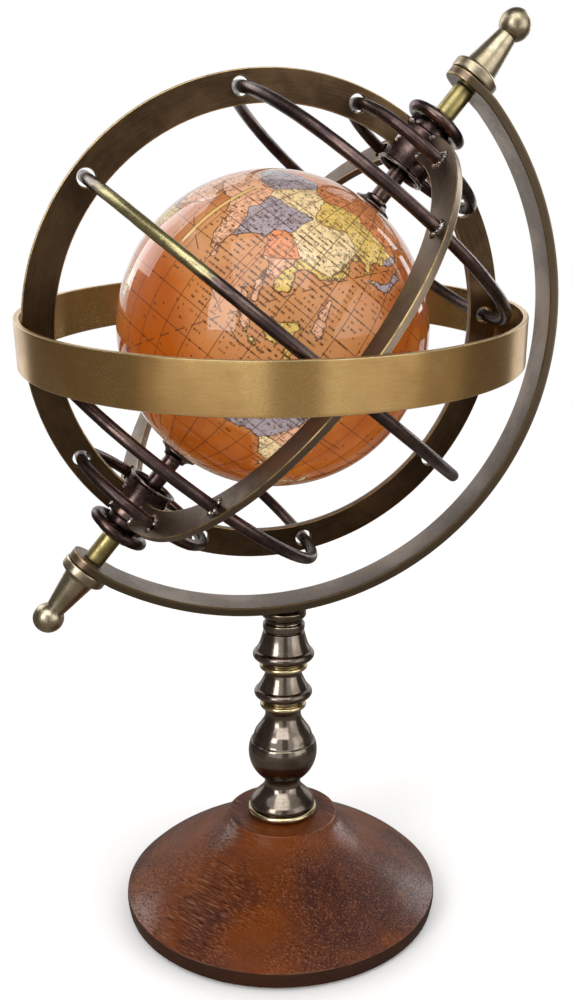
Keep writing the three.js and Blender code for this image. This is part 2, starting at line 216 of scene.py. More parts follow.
def turned(name, outline, where, segments=128, step=1.0):
    """A closed outline turned about Z. Its corners are at most a step apart."""
    outline = np.asarray(outline, float)
    area = (outline[:, 0] * np.roll(outline[:, 1], -1) - np.roll(outline[:, 0], -1) * outline[:, 1]).sum()
    outline = filled_in(outline if area > 0 else outline[::-1], step)
    count = len(outline)
    angles = np.arange(segments) * 2 * math.pi / segments
    x, y = np.outer(np.cos(angles), outline[:, 0]), np.outer(np.sin(angles), outline[:, 0])
    vertices = np.stack([x, y, np.broadcast_to(outline[:, 1], x.shape)], axis=-1).reshape(-1, 3)
    on_axis = outline[:, 0] < 1e-6
    faces = []
    for i in range(segments):
        here, there = i * count, (i + 1) % segments * count
        for j in range(count):
            k = (j + 1) % count
            if on_axis[j] and on_axis[k]:
                continue
            if on_axis[j]:
                faces.append((here + j, there + k, here + k))
            elif on_axis[k]:
                faces.append((here + j, there + j, here + k))
            else:
                faces.append((here + j, there + j, there + k, here + k))
    return new_piece(name, vertices, faces, where, np.tile(edge_values(outline), segments))


def dented(piece, depth, size):
    """Moves the surface in and out a little, as hammered or cast metal is."""
    mesh = piece.data
    normals = [v.normal.copy() for v in mesh.vertices]
    for vertex, normal in zip(mesh.vertices, normals):
        vertex.co += normal * noise.noise(vertex.co / (size * MM)) * depth * MM
    mesh.update()
    return piece


def finished(piece, body, slot, look, *nodes):
    """Rides the piece on its body, in place of its CAD nodes, with its material."""
    piece.data.materials.clear()
    piece.data.materials.append(look)
    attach(piece, body)
    if nodes:
        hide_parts(*nodes)


# --- node materials ---


class Value:
    """What one node hands to the next. Arithmetic with it adds math nodes to its look."""

    def __init__(self, look, socket):
        self.look, self.socket = look, socket

    def __add__(self, other):
        return self.look.math("ADD", self, other)

    def __sub__(self, other):
        return self.look.math("SUBTRACT", self, other)

    def __rsub__(self, other):
        return self.look.math("SUBTRACT", other, self)

    def __mul__(self, other):
        return self.look.math("MULTIPLY", self, other)

    def __truediv__(self, other):
        return self.look.math("DIVIDE", self, other)

    def __abs__(self):
        return self.look.math("ABSOLUTE", self)

    def rescaled(self, low, high, to_low=0.0, to_high=1.0):
        """Runs smoothly from to_low to to_high while this value runs from low to high."""
        inputs = {0: self, 1: low, 2: high, 3: to_low, 4: to_high}
        return self.look.add("ShaderNodeMapRange", inputs, interpolation_type="SMOOTHSTEP")

    def under(self, amount, paint, shade=1.0):
        """This colour with some of a paint over it."""
        return self.look.mixed(amount, self, colour(paint, shade))


class Look:
    """One node material. Numbers that are the same all over are set on the shader's own sockets."""

    def __init__(self, name, on_cad=False, **sockets):
        self.material = bpy.data.materials.new(name)
        self.material.use_nodes = True
        self.tree = self.material.node_tree
        self.shader = self.tree.nodes["Principled BSDF"]
        for key, value in sockets.items():
            self.shader.inputs[key.replace("_", " ")].default_value = value
        if on_cad:
            self.here = self.add("ShaderNodeTexCoord", output="Object")
        else:
            self.here = self.add("ShaderNodeAttribute", output="Vector", attribute_name="local")

    def add(self, kind, inputs=(), output=0, **settings):
        """Adds a node and gives the value that comes out of it."""
        node = self.tree.nodes.new(kind)
        for key, value in settings.items():
            setattr(node, key, value)
        for key, value in dict(inputs).items():
            if isinstance(value, Value):
                self.tree.links.new(value.socket, node.inputs[key])
            else:
                node.inputs[key].default_value = value
        return Value(self, node.outputs[output])

    def math(self, operation, a, b=0.0, c=0.0):
        return self.add("ShaderNodeMath", {0: a, 1: b, 2: c}, operation=operation)

    def most(self, *values, operation="MAXIMUM"):
        """The largest of the values at each point, or the smallest for MINIMUM."""
        result = values[0]
        for value in values[1:]:
            result = self.math(operation, result, value)
        return result

    def vector(self, operation, a, b=(0, 0, 0), output="Vector"):
        return self.add("ShaderNodeVectorMath", {0: a, 1: b}, output, operation=operation)

    def stretched(self, x, y, z, at=None):
        return self.vector("MULTIPLY", at or self.here, (x, y, z))

    def axes(self, at=None):
        x = self.add("ShaderNodeSeparateXYZ", {0: at or self.here})
        return [Value(self, socket) for socket in x.socket.node.outputs]

    def joined(self, x, y, z=0.0):
        return self.add("ShaderNodeCombineXYZ", {0: x, 1: y, 2: z})

    def noise(self, scale, detail=2.0, at=None, roughness=0.5):
        inputs = {"Vector": at or self.here, "Scale": scale, "Detail": detail, "Roughness": roughness}
        return self.add("ShaderNodeTexNoise", inputs, "Fac")

    def mixed(self, factor, a, b):
        return self.add("ShaderNodeMix", {0: factor, 6: a, 7: b}, 2, data_type="RGBA")

    def attribute(self, name):
        return self.add("ShaderNodeAttribute", output="Fac", attribute_name=name)

    def bumped(self, height, strength, distance):
        inputs = {"Height": height, "Strength": strength, "Distance": distance}
        return self.add("ShaderNodeBump", inputs)

    def turning_marks(self, along, around=60.0):
        """Coordinates that change fast across the marks that turning or brushing leaves round Z."""
        x, y, z = self.axes()
        away = self.vector("LENGTH", self.joined(x, y), output="Value")
        first = self.math("MULTIPLY_ADD", away, along, x * around)
        second = self.math("MULTIPLY_ADD", z, along, y * around)
        return self.joined(first, second, (x - y) * around)

    def finish(self, **sockets):
        for key, value in sockets.items():
            self.tree.links.new(value.socket, self.shader.inputs[key.replace("_", " ")])
        return self.material


def colour(text, factor=1.0):
    """A display colour such as 8A7A55 as linear numbers."""
    parts = [int(text[i : i + 2], 16) / 255 for i in (0, 2, 4)]
    linear = [p / 12.92 if p <= 0.04045 else ((p + 0.055) / 1.055) ** 2.4 for p in parts]
    return (*(p * factor for p in linear), 1.0)


def metal(name, paints, rough, patch=70, streak=0.06, marks=2600, mark_depth=0.1, pits=0.4, wear=0.8,
          grain=0.0, anisotropy=0.0, edges=None, overlay=None, on_cad=False):
    """Aged metal: patina in patches (on the column partly a painted reflection of windows), fine turning
    marks, pits, worn bright edges and dark grooves.

    paints holds the base, patina, bright and grime colours. patch and marks are how many come to a metre.
    """
    base, patina, bright, grime = paints.split()
    look = Look(name, on_cad, Metallic=1.0, Anisotropic=anisotropy, Anisotropic_Rotation=0.25)
    patches = look.noise(patch, 5, roughness=0.62).rescaled(0.36, 0.64)
    lines = look.noise(1.0, 3, at=look.turning_marks(marks), roughness=0.7)
    specks = look.noise(850, 3, roughness=0.7)
    scuffs = look.noise(260, 4, roughness=0.7).rescaled(0.3, 0.6, 0.35, 1.0)
    edge = edges(look) if edges else look.attribute("edge")
    # Patches of two tones: patina, and on the column the lighter tone is partly a painted reflection of
    # windows.
    tint = look.mixed(patches, colour(base), colour(patina))
    tint = tint.under(lines.rescaled(0.35, 0.75, 0.0, streak), bright)
    tint = tint.under(specks.rescaled(0.63, 0.74, 0.0, pits), grime)
    tint = tint.under(edge.rescaled(0.12, 0.7, 0.0, wear) * scuffs, bright)
    tint = tint.under(edge.rescaled(-0.08, -0.5, 0.0, 0.85), grime)
    if overlay:
        tint = overlay(look, tint)
    roughness = patches.rescaled(0.0, 1.0, rough, rough + 0.07)
    roughness += specks.rescaled(0.4, 0.8, -0.02, 0.25 * pits)
    height = look.math("MULTIPLY_ADD", look.noise(420, 4, roughness=0.65), grain, lines)
    return look.finish(Base_Color=tint, Roughness=roughness, Normal=look.bumped(height, mark_depth, 0.00005))


def gold_bead(look, tint):
    """The patina is polished off the bead at the bottom of the piece."""
    bead_mask = look.axes()[2].rescaled(3.3 * MM, 2.9 * MM)
    rubbed = look.noise(300, 4, roughness=0.7).rescaled(0.3, 0.55, 0.4, 0.9)
    return tint.under(bead_mask * rubbed, "CDBE96")


def worn_stretch(look, tint):
    """Brass shows where handling has rubbed a rod bare."""
    scratches = look.noise(1.0, 4, at=look.turning_marks(600, 90), roughness=0.7)
    bare = (look.attribute("rubbed") + scratches * 0.7).rescaled(0.75, 1.1)
    return tint.under(bare, "B3AB7C")


def side_faces(half_width):
    """The narrow faces of the bent strip are darker than its broad ones."""
    def overlay(look, tint):
        side = abs(look.axes()[2]).rescaled((half_width - 0.42) * MM, (half_width - 0.3) * MM)
        return tint.under(side * 0.8, "4C4232")
    return overlay


def wood():
    """Reddish plank wood, turned: growth rings about a pith far below, and short pores along the grain."""
    look = Look("base_wood", Coat_Weight=0.12, Coat_Roughness=0.24, Specular_IOR_Level=0.06)
    board = look.add("ShaderNodeMapping", {"Vector": look.here, "Rotation": (0, 0, math.radians(48))})

    def streaks(detail, roughness, along, across):
        return look.noise(1.0, detail, at=look.stretched(along, across, across, board), roughness=roughness)

    _, y, z = look.axes(board)
    from_pith = look.vector("LENGTH", look.joined(0.0, y + 0.018, z + 0.07), output="Value")
    wander = look.noise(14, 3, at=look.stretched(0.25, 1, 1, board))
    ring = look.math("MULTIPLY_ADD", wander, 0.03, from_pith)
    figure = streaks(4, 0.65, 26, 190)
    thick = look.noise(30, 3).rescaled(0.34, 0.52, 0.25, 1.0)
    pores = streaks(2, 0.6, 100, 1900).rescaled(0.57, 0.65) * thick
    chafed = look.noise(55, 3).rescaled(0.4, 0.6, 0.0, 0.5)
    mottle = look.noise(17, 3, roughness=0.6).rescaled(0.4, 0.62)
    tint = look.mixed(mottle, colour("66300A"), colour("42221C"))
    for amount, paint in (
        (look.noise(31, 3).rescaled(0.5, 0.72, 0.0, 0.45), "341404"),
        (look.math("SINE", ring * 700.0).rescaled(-1.0, 1.0) * 0.25, "381A10"),
        (figure.rescaled(0.48, 0.75, 0.0, 0.6), "683412"),
        (streaks(2, 0.7, 110, 1700).rescaled(0.52, 0.64) * thick * 0.4, "96684A"),
        (pores * 0.85, "200D06"),
        (look.axes()[2].rescaled(9.0 * MM, 8.0 * MM) * 0.85, "241812"),  # the upright rim
        (look.attribute("edge").rescaled(0.1, 0.6) * chafed, "8A6A54"),
    ):
        tint = tint.under(amount, paint)
    roughness = look.math("MULTIPLY_ADD", pores, 0.3, look.noise(45, 4).rescaled(0.3, 0.7, 0.3, 0.46))
    height = figure * 0.35 - pores
    return look.finish(Base_Color=tint, Roughness=roughness, Normal=look.bumped(height, 0.5, 0.0003),
                       Coat_Normal=look.bumped(height, 0.3, 0.00025))


def felt():
    look = Look("felt", Sheen_Weight=0.4, Roughness=0.95)
    fuzz = look.noise(1400, 4, roughness=0.8)
    tint = look.mixed(fuzz, colour("1F1B18"), colour("3A322C"))
    return look.finish(Base_Color=tint, Normal=look.bumped(fuzz, 0.8, 0.0004))


# --- the map on the globe: coarse coasts as (longitude, latitude) corners ---

LANDS = [
    # Europe and Asia
    [(-9, 38), (-9, 43), (-2, 43.5), (-1.5, 46), (-4.5, 48.5), (1.5, 50), (8, 54), (8, 57), (10.5, 57.5),
     (11, 54.5), (19, 54.5), (21, 57), (24, 59), (30, 60), (22, 60.5), (21.5, 63), (25, 65), (22, 65.8),
     (17.5, 62), (17, 59), (13, 55.5), (10.8, 59), (7, 58), (5, 61), (15, 68.5), (25, 71), (41, 67),
     (38, 64), (44, 66), (54, 68.5), (68, 69), (67, 72.5), (73, 71.5), (72, 67), (80, 72.5), (100, 76),
     (113, 74), (130, 71.5), (160, 70), (180, 69), (180, 65), (170, 60), (163, 58), (157, 51), (156, 57),
     (163, 61), (156, 61), (142, 59), (136, 54.5), (141, 52), (138, 46), (132, 43), (127.5, 39.5),
     (129.5, 36), (126.5, 34.5), (126, 37.5), (121.5, 39.5), (118, 39), (122.5, 37), (119, 35), (122, 31),
     (120, 26), (114, 22.3), (108, 21.5), (106, 19), (109, 13), (105, 9), (102.5, 12.5), (100.5, 13.3),
     (99.5, 10.5), (103.5, 1.4), (101.5, 2.5), (98.3, 8), (98.5, 14), (96.5, 16.5), (94.3, 16), (92, 22),
     (88, 21.7), (85, 19.5), (80.2, 15), (80, 11), (77.5, 8), (74, 14), (72.5, 21.5), (70, 21), (67, 24.8),
     (57, 26.8), (49, 30.2), (51, 25), (56, 26), (59.8, 22.5), (57, 19), (44, 12.7), (42.5, 16.5),
     (39, 21.5), (35, 28), (36, 36.5), (27, 37.5), (26.5, 40), (36, 41.5), (41.5, 41.5), (38, 47),
     (33.5, 44.5), (31, 46.5), (28, 41.5), (24, 40.8), (22.5, 37), (19.5, 41.5), (13.7, 45.3), (18.5, 40),
     (16, 38.2), (12.5, 41.5), (9, 44.3), (3.5, 43.3), (-0.5, 38), (-5.5, 36.1), (-9, 37)],
    # Africa and Madagascar
    [(-6, 35.8), (10, 37.3), (11, 33.8), (20, 31), (32.3, 31), (34, 27.5), (37, 21), (43.3, 11.8),
     (51, 11.8), (48, 5), (42, -1.5), (39, -6), (40.5, -11), (40, -16), (35, -20), (35.5, -24), (30.5, -31),
     (26, -34), (19, -34.6), (17.5, -30), (14.5, -22.5), (12, -16), (13.7, -10), (9, -1), (9.5, 4), (4, 6.4),
     (-8, 4.5), (-13.5, 9), (-17, 14.7), (-16.5, 20), (-9.8, 31)],
    [(49.3, -12.2), (50.3, -15.5), (47.5, -25), (44.5, -25), (43.5, -21.5), (44.5, -16.5)],
    # Australia, Tasmania, New Guinea, New Zealand
    [(113.5, -22.5), (115.7, -32), (118, -35), (123.5, -34), (129, -31.7), (134, -33), (137.5, -35),
     (140.5, -38), (146, -39), (150, -37.5), (153, -31), (153, -25), (149, -21), (146, -19), (145.3, -15),
     (142.5, -11), (141, -14), (140.5, -17.5), (136, -15.5), (136.5, -12.2), (131, -11.8), (129, -15),
     (124.5, -16.5), (121.5, -19)],
    [(145, -41), (148.2, -41), (147, -43.5)],
    [(131, -0.8), (137.5, -1.6), (144, -4), (147.5, -6.5), (150.5, -10.5), (143, -9), (138, -8.2),
     (137.5, -5), (133, -4)],
    [(173, -34.8), (178, -38), (175.5, -41.5), (171, -45.8), (167, -46.3), (170.5, -43), (174, -39.5)],
    # Islands off south-east Asia, Sri Lanka and Japan
    [(95.3, 5.6), (98, 4), (103.5, -1), (106, -3.5), (105.5, -6), (102, -4.5), (99, 0.5)],
    [(105.3, -6.3), (108.5, -6.7), (114.3, -7.8), (114, -8.6), (108, -7.8)],
    [(109, 1.8), (113, 3.5), (117, 7), (119, 5), (117.5, 1), (116, -4), (111, -3), (109.5, -0.5)],
    [(119, -3), (120, 1), (125, 1.5), (121, 0.2), (123, -1), (121.5, -2), (122.5, -5), (120.5, -5.5)],
    [(120.5, 18.3), (122.2, 18.3), (124.5, 12.5), (126.3, 7), (122.2, 7.2), (121, 13.5)],
    [(80, 9.5), (81.8, 7), (80.3, 6), (79.8, 8)],
    [(130, 31.5), (132, 34), (136.5, 33.8), (140.5, 35.5), (142, 39.5), (145, 43.5), (142, 45.5), (140, 42),
     (139.5, 38.5), (136, 36.5), (131, 34.5)],
    # Britain, Ireland, Iceland, Greenland
    [(-5.5, 50), (1, 51.2), (0, 53.5), (-2, 56), (-3.5, 58.5), (-6, 57.5), (-4.5, 54)],
    [(-10, 52), (-6, 52.3), (-6, 55), (-9.5, 54)],
    [(-24, 65.5), (-18, 66.3), (-14, 65), (-18.5, 63.4)],
    [(-73, 78.5), (-60, 82), (-33, 83.5), (-18, 80), (-20, 73), (-27, 68.5), (-40, 65), (-44, 60),
     (-50, 62.5), (-54, 68), (-56, 74), (-68, 76)],
    # The Americas
    [(-168, 65.8), (-156, 71.2), (-125, 70), (-96, 68), (-94, 72), (-82, 66), (-94, 59), (-82, 55),
     (-79, 51.5), (-77, 57), (-77.5, 62.5), (-65, 59), (-56.5, 52), (-65, 49.5), (-61, 46), (-70.5, 42),
     (-76, 35.2), (-81.3, 31), (-80.2, 25.5), (-83, 29.5), (-97.3, 27), (-97.5, 22), (-94, 18.2),
     (-90.5, 20.5), (-87, 21.3), (-88.5, 16), (-83.5, 15), (-83.5, 10), (-78, 9), (-80, 7.5), (-94, 16),
     (-105.5, 20.5), (-114.5, 31), (-110, 23.3), (-115, 29), (-120.5, 34.5), (-124.3, 40.5), (-124, 48),
     (-132, 55.5), (-146, 60.7), (-158, 57), (-157.5, 59), (-165, 62)],
    [(-78, 8.5), (-72, 12), (-62, 10.7), (-51, 4.5), (-49, -0.5), (-35, -6), (-38.5, -14), (-41, -22),
     (-48.5, -27), (-53.5, -34), (-65, -42), (-69, -52), (-68, -55), (-74, -51.5), (-73.5, -42),
     (-71.5, -30), (-70.3, -18.5), (-76.5, -13), (-81.2, -5), (-80, 1), (-77.3, 6)],
    # Antarctica, closed through the pole
    [(-180, -78), (-120, -74), (-75, -72), (-62, -64.5), (-62, -74), (-40, -78), (10, -70), (60, -67),
     (120, -66.8), (150, -68.5), (165, -72), (165, -78), (180, -78), (180, -91), (-180, -91)],
]
# Each tint with the rough middles of its regions.
TINTS = {
    "EFD3A0": [(104, 32), (112, 38), (86, 42), (146, -34), (10, 50), (18, 27), (20, 0), (47, -19),
               (-100, 40), (-75, -10)],
    "A79CA2": [(84, 22), (68, 48), (88, 33), (138, 37), (120, -25), (134, -22), (30, 13), (-42, 72)],
    "E8B08C": [(74, 19), (66, 30), (55, 32), (45, 24), (100, 16), (102, 4), (122, 11), (145, -25), (20, 60),
               (30, 26), (0, 14), (35, -8), (-100, 60), (-66, -35), (0, -85)],
    "E2C06A": [(104, 47), (120, 45), (106, 15), (127, 37), (114, 0), (-3, 40), (30, 52), (5, 27), (40, 4),
               (24, -28), (-102, 24), (-74, 4), (-150, 64)],
    "DC8A54": [(95, 58), (125, 60), (60, 60), (150, 64), (96, 21), (141, -5), (35, 39), (18, -12),
               (-60, -8)],
}
PRINT_ROWS = math.radians(2)  # latitude between the rows of fine print
MAP_EAST = math.radians(210)  # longitude on the map of the globe's own X axis
COAST_STEP = 0.4  # degrees


def directions(lon_lat):
    """Longitudes and latitudes in degrees as directions from the globe's centre."""
    lon, lat = np.radians(np.asarray(lon_lat, float)).T[:2]
    lon = lon - MAP_EAST
    return np.stack([np.cos(lat) * np.cos(lon), np.cos(lat) * np.sin(lon), np.sin(lat)], axis=1)


def inside(lon, lat, corners):
    crossings = np.zeros(len(lon), bool)
    for (x0, y0), (x1, y1) in zip(corners, corners[1:] + corners[:1]):
        if y0 != y1:
            meets = x0 + (lat - y0) * (x1 - x0) / (y1 - y0)
            crossings ^= ((y0 > lat) != (y1 > lat)) & (lon < meets)
    return crossings


def map_layers(points, radius):
    """For points on the globe: how far inside the nearest coast, and how far from each tint, in mm."""
    unit = points / np.linalg.norm(points, axis=1)[:, None]
    lat = np.degrees(np.arcsin(np.clip(unit[:, 2], -1, 1)))
    lon = (np.degrees(np.arctan2(unit[:, 1], unit[:, 0]) + MAP_EAST) + 180) % 360 - 180
    on_land, coast = np.zeros(len(points), bool), []
    for corners in LANDS:
        on_land |= inside(lon, lat, corners)
        for a, b in zip(corners, corners[1:] + corners[:1]):
            along_map_edge = abs(a[0]) == abs(b[0]) == 180 or max(abs(a[1]), abs(b[1])) > 90
            if not along_map_edge:
                parts = max(2, math.ceil(math.dist(a, b) / COAST_STEP))
                coast.extend(np.linspace(a, b, parts, endpoint=False))
    coast = directions(coast)
    tree = kdtree.KDTree(len(coast))
    for i, point in enumerate(coast):
        tree.insert(point, i)
    tree.balance()
    away = np.array([tree.find(point)[2] for point in unit]) * radius
    layers = {"land": np.where(on_land, away, -away)}
    for k, middles in enumerate(TINTS.values()):
        distance = np.sqrt(np.maximum(0, 2 - 2 * unit @ directions(middles).T)) * radius
        layers[f"tint{k}"] = distance.min(axis=1)
    return layers


def direction(lon, lat):
    return tuple(float(v) for v in directions([(lon, lat)])[0])


def map_look(radius):
    """Printed paper under lacquer: tinted lands on an orange sea, coasts, graticule and fine print."""
    look = Look("globe_map", Coat_Weight=1.0, Coat_Roughness=0.04, Coat_IOR=1.38, Roughness=0.5,
                Specular_IOR_Level=0.1)
    shade = 0.8  # display colours are taken down a little, because the studio light lifts them
    unit = look.vector("NORMALIZE", look.here)
    x, y, z = look.axes(unit)
    lat = look.math("ARCSINE", z)
    lon = look.math("ARCTAN2", y, x)
    around = look.math("COSINE", lat) * radius

    def line(angle, spacing, width, scale):
        """1 on lines every spacing radians of the angle. scale turns a radian into millimetres."""
        turn = angle / spacing
        off = abs(turn - look.math("ROUND", turn)) * spacing * scale
        return off.rescaled(width, width * 0.45)

    def meridian(at, width):
        return (abs(lon - math.radians(at)) * around).rescaled(width, width * 0.6)

    def between(low, high, soft=1.5):
        """1 where the latitude is between two values in degrees."""
        above = lat.rescaled(math.radians(low), math.radians(low + soft))
        return above * lat.rescaled(math.radians(high), math.radians(high - soft))

    def near(lon_at, lat_at, reach):
        off = look.vector("DISTANCE", unit, direction(lon_at, lat_at), "Value")
        return off.rescaled(reach, reach * 0.35)

    def route(pole, offset):
        """A dashed ship's track: a circle on the globe about a pole."""
        along = look.vector("DOT_PRODUCT", unit, direction(*pole), "Value")
        dashes = look.math("SINE", lat * 70.0).rescaled(-0.5, -0.3)
        return (abs(along - offset) * radius).rescaled(0.28, 0.14) * dashes

    land = look.math("MULTIPLY_ADD", look.noise(330, 4, roughness=0.65) - 0.5, 4.5, look.attribute("land"))
    on_land = land.rescaled(-0.12, 0.12)
    coast = abs(land).rescaled(0.42, 0.16)
    sea = look.mixed(look.noise(38, 3).rescaled(0.4, 0.65), colour("B65808", shade), colour("C66C18", shade))
    pale_sea = look.most(land.rescaled(-3.5, -0.5) * 0.5, look.most(near(112, 10, 0.78), near(77, 13, 0.4)))
    sea = sea.under(pale_sea * 0.85, "E0A068", shade)

    best, *others = [look.attribute(f"tint{k}") + look.noise(150 + 17 * k, 3, roughness=0.6) * 5.0
                     for k in range(len(TINTS))]
    first_paint, *paints = TINTS
    second, tint = 99.0, colour(first_paint)
    for distance, paint in zip(others, paints):
        tint = look.mixed(look.math("LESS_THAN", distance, best), tint, colour(paint))
        second = look.math("MINIMUM", look.math("MAXIMUM", best, distance), second)
        best = look.math("MINIMUM", best, distance)
    tint = tint.under(look.noise(430, 5, roughness=0.75).rescaled(0.45, 0.7, 0.0, 0.5), "A87A52", shade)
    base = look.mixed(on_land, sea, tint)

    crowded = look.most(near(104, 12, 0.75), land.rescaled(-7.0, 2.0, 0.0, 0.55), near(128, 30, 0.5) * 0.8)
    row = look.math("ROUND", lat / PRINT_ROWS)
    words = look.noise(1.0, 2, at=look.joined(lon * 22.0, row * 7.7))
    words = look.math("GREATER_THAN", look.math("MULTIPLY_ADD", crowded, 0.17, words), 0.64)
    strokes = look.noise(1.0, 2, at=look.joined(lon * 235.0, row * 3.1), roughness=0.8).rescaled(0.45, 0.5)
    fine_print = words * strokes * (line(lat, PRINT_ROWS, 0.58, radius) * 0.95)

    border = (second - best).rescaled(0.45, 0.15)
    hachures = look.noise(1.0, 3, at=look.stretched(900, 600, 900), roughness=0.7).rescaled(0.52, 0.6)
    hilly = look.noise(75, 3).rescaled(0.5, 0.6)
    rivers = abs(look.noise(170, 4, roughness=0.65) - 0.5).rescaled(0.018, 0.006)
    drawn = look.most(border, hachures * hilly * 0.65, rivers * 0.8)
    drawn = look.most(drawn * on_land, coast)
    tens = math.radians(10)
    graticule = look.most(line(lat, tens, 0.24, radius), line(lon, tens, 0.24, around))
    tracks = look.most(route((20, 35), 0.12), route((150, 60), 0.2))
    marks = look.most(drawn * 0.85, graticule * 0.75, fine_print, tracks * 0.8)
    base = base.under(marks, "3E1C10")
    double = look.most(meridian(-117.4, 0.22), meridian(-116.2, 0.22))
    base = base.under(double * between(-8, 26) * 0.7, "8E3424", shade)
    base = base.under(meridian(-143.5, 0.8) * between(3, 36), "EBC878", shade)
    for beside in (-144.6, -142.4):
        base = base.under(meridian(beside, 0.22) * between(3, 36) * 0.7, "6A3414", shade)
    return look.finish(Base_Color=base, Coat_Normal=look.bumped(look.noise(60, 2), 0.06, 0.0004))


# --- base and column ---


def build_base(looks):
    base, pad = Span("wooden_base", STANDING), Span("felt_pad", STANDING)
    points = points_in("wooden_base", STANDING)
    away = np.hypot(*points[:, :2].T)
    near_top, near_rim = 0.5, 0.3
    disc = away[points[:, 2] > base.high - near_top].max()
    rim_top = points[away > base.radius - near_rim][:, 2].max()
    counterbore, counterbore_top = 11.0, 13
    flank = [(base.radius - 0.1, rim_top), (65.5, 13.2), (58.5, 18.2), (50, 23.2), (42, 27.6), (35, 31.8),
             (29.6, 36), (26.2, 39.6), (disc + 0.3, base.high - 0.7)]
    outline = rounded([
        (counterbore, base.low),
        (base.radius - 0.6, base.low, 0.5),
        (base.radius + 0.25, rim_top - 2.6, 1.4),
        (base.radius, rim_top, 0.5),
        *flowing(flank, 60)[1:],
        (disc, base.high - 0.1, 0.3),
        (disc - 0.9, base.high, 0.4),
        (base.bore, base.high, 0),
        (base.bore, counterbore_top, 0),
        (counterbore, counterbore_top, 0),
    ])
    wooden = turned("turned_wooden_base", outline, STANDING, segments=192)
    finished(wooden, "stand", "base_wood", looks["wood"], "wooden_base")
    outline = rounded([(0, pad.low, 0), (pad.radius, pad.low), (pad.radius, pad.high), (0, pad.high, 0)])
    finished(turned("felt_disc", outline, STANDING, step=4), "stand", "felt", looks["felt"], "felt_pad")


def foot_outline(height):
    return [
        (13.9, 0, 0.4),
        *bead(14.05, 1.65, 1.6, -80, 86, 12),
        (14.2, 3.5, 0.3),
        (14.6, 3.8, 0.4),
        *flowing([(14.6, 4.9), (13.8, 6.6), (12.2, 8.4), (10.4, 10.2), (9.0, 11.9), (8.2, 13.4),
                  (8.05, height - 0.6)], 24),
        (8.3, height, 0.2),
    ]


def bulb_outline(height):
    ball_at, ball_radius = 13.6, 15.4
    return [
        (8.4, 0, 0.2),
        (8.5, 0.9, 0.2),
        (9.3, 1.2, 0.2),
        *bead(0, ball_at, ball_radius, -52, 16, 22),
        (14.5, ball_at + 5.0, 0.3),
        (13.8, ball_at + 5.5, 0.3),
        *flowing([(13.5, 19.7), (12.5, 23), (10.2, 26.4), (8.5, 29.2), (8.0, 31.8), (8.5, height - 0.4)], 24),
        (8.7, height, 0.2),
    ]


def knop_outline(bead_outer, knop_radius, knop_at, throat):
    """A bright bead, a rounded lip over a small groove, and the throat that runs up from the lip."""
    return [
        (bead_outer - 1.7, 0, 0.2),
        *bead(bead_outer - 1.25, 1.35, 1.25, -85, 88, 12),
        (bead_outer - 1.1, 2.9, 0.2),
        (knop_radius - 3.0, 3.6, 0.4),
        *bead(knop_radius - 2.2, knop_at, 2.2, -62, 66, 14),
        (knop_radius - 1.75, knop_at + 2.2, 0.2),
        *throat,
    ]


def lower_knop_outline(height):
    throat = flowing([(10.9, 10.1), (9.6, 12.6), (8.5, 15), (8.1, 16.8), (8.4, height - 0.3)], 18)
    return [*knop_outline(10.3, 12.9, 7.3, throat), (8.5, height, 0.2)]


def upper_knop_outline(height):
    throat = flowing([(11.75, 9.7), (10.7, 12), (9.8, 14.8), (9.15, 17.5)], 16)
    collar = [(8.5, 17.8, 0.2), (8.5, 18.5, 0.2), (9.2, 18.8, 0.3), (9.2, 21.4, 0.3), (8.3, 21.9, 0.2),
              (8.2, height, 0)]
    return [*knop_outline(10.6, 13.6, 6.9, throat), *collar]


def cap_outline(height):
    return [(8.2, 0, 0.1), (8.3, 0.7, 0.2), (9.6, 2.0, 0.5), (9.8, 2.8, 0.4), (9.8, height, 0.4)]


COLUMN = {
    "column_foot": (foot_outline, "beaded"),
    "column_bulb": (bulb_outline, "gunmetal"),
    "column_lower_knop": (lower_knop_outline, "beaded"),
    "column_upper_knop": (upper_knop_outline, "beaded"),
    "column_cap": (cap_outline, "gunmetal"),
}


def build_column(looks):
    for node, (outline_of, look) in COLUMN.items():
        span = Span(node, STANDING)
        bored = [(span.bore, 0, 0), *outline_of(span.height), (span.bore, span.height, 0)]
        where = Matrix.Translation((0, 0, span.low * MM))
        piece = turned(node + "_turned", rounded(bored), where, segments=160, step=0.8)
        finished(piece, "stand", "column_metal", looks[look], node)


# --- the bent strip and what holds it ---


def strip_section(half_width, half_thickness, ease=0.5):
    """A flat bar's section, as (across, through) points and how worn each one is."""
    ease = min(ease, 0.8 * half_width)
    inner, guard = half_width - ease, max(0.0, half_width - ease - 0.5)
    side = half_thickness - ease
    corner = arc_points(ease, np.radians((60, 30)), (inner, side))
    quarter = [(guard, half_thickness, 0), (inner, half_thickness, 0.7), *((x, y, 1) for x, y in corner)]
    quarter += [(half_width, side, 0.7), (half_width, side * 0.5, 0)]
    right = quarter + [(a, -t, w) for a, t, w in reversed(quarter)]
    return right + [(-a, t, w) for a, t, w in reversed(right)]


def strip_path(reach, tab_at, offset, radius, end_radius):
    """The strip's middle line of a tab, the long arc and a tab, and its half width at each point."""
    start = math.atan2(tab_at, reach + offset) - 0.02
    tab = [(-end_radius * math.cos(t), tab_at) for t in np.linspace(0.1, math.pi / 2, 14)]
    tab += [(x, tab_at) for x in np.linspace(1, reach - 2.5, 5)]
    arc = arc_points(radius, np.linspace(start, -start, 240), (-offset, 0))
    line = np.array(tab + arc + [(x, -y) for x, y in reversed(tab)])
    widths = [math.sqrt(max(0.05, end_radius**2 - min(0.0, x) ** 2)) for x, _ in line]
    return line, widths


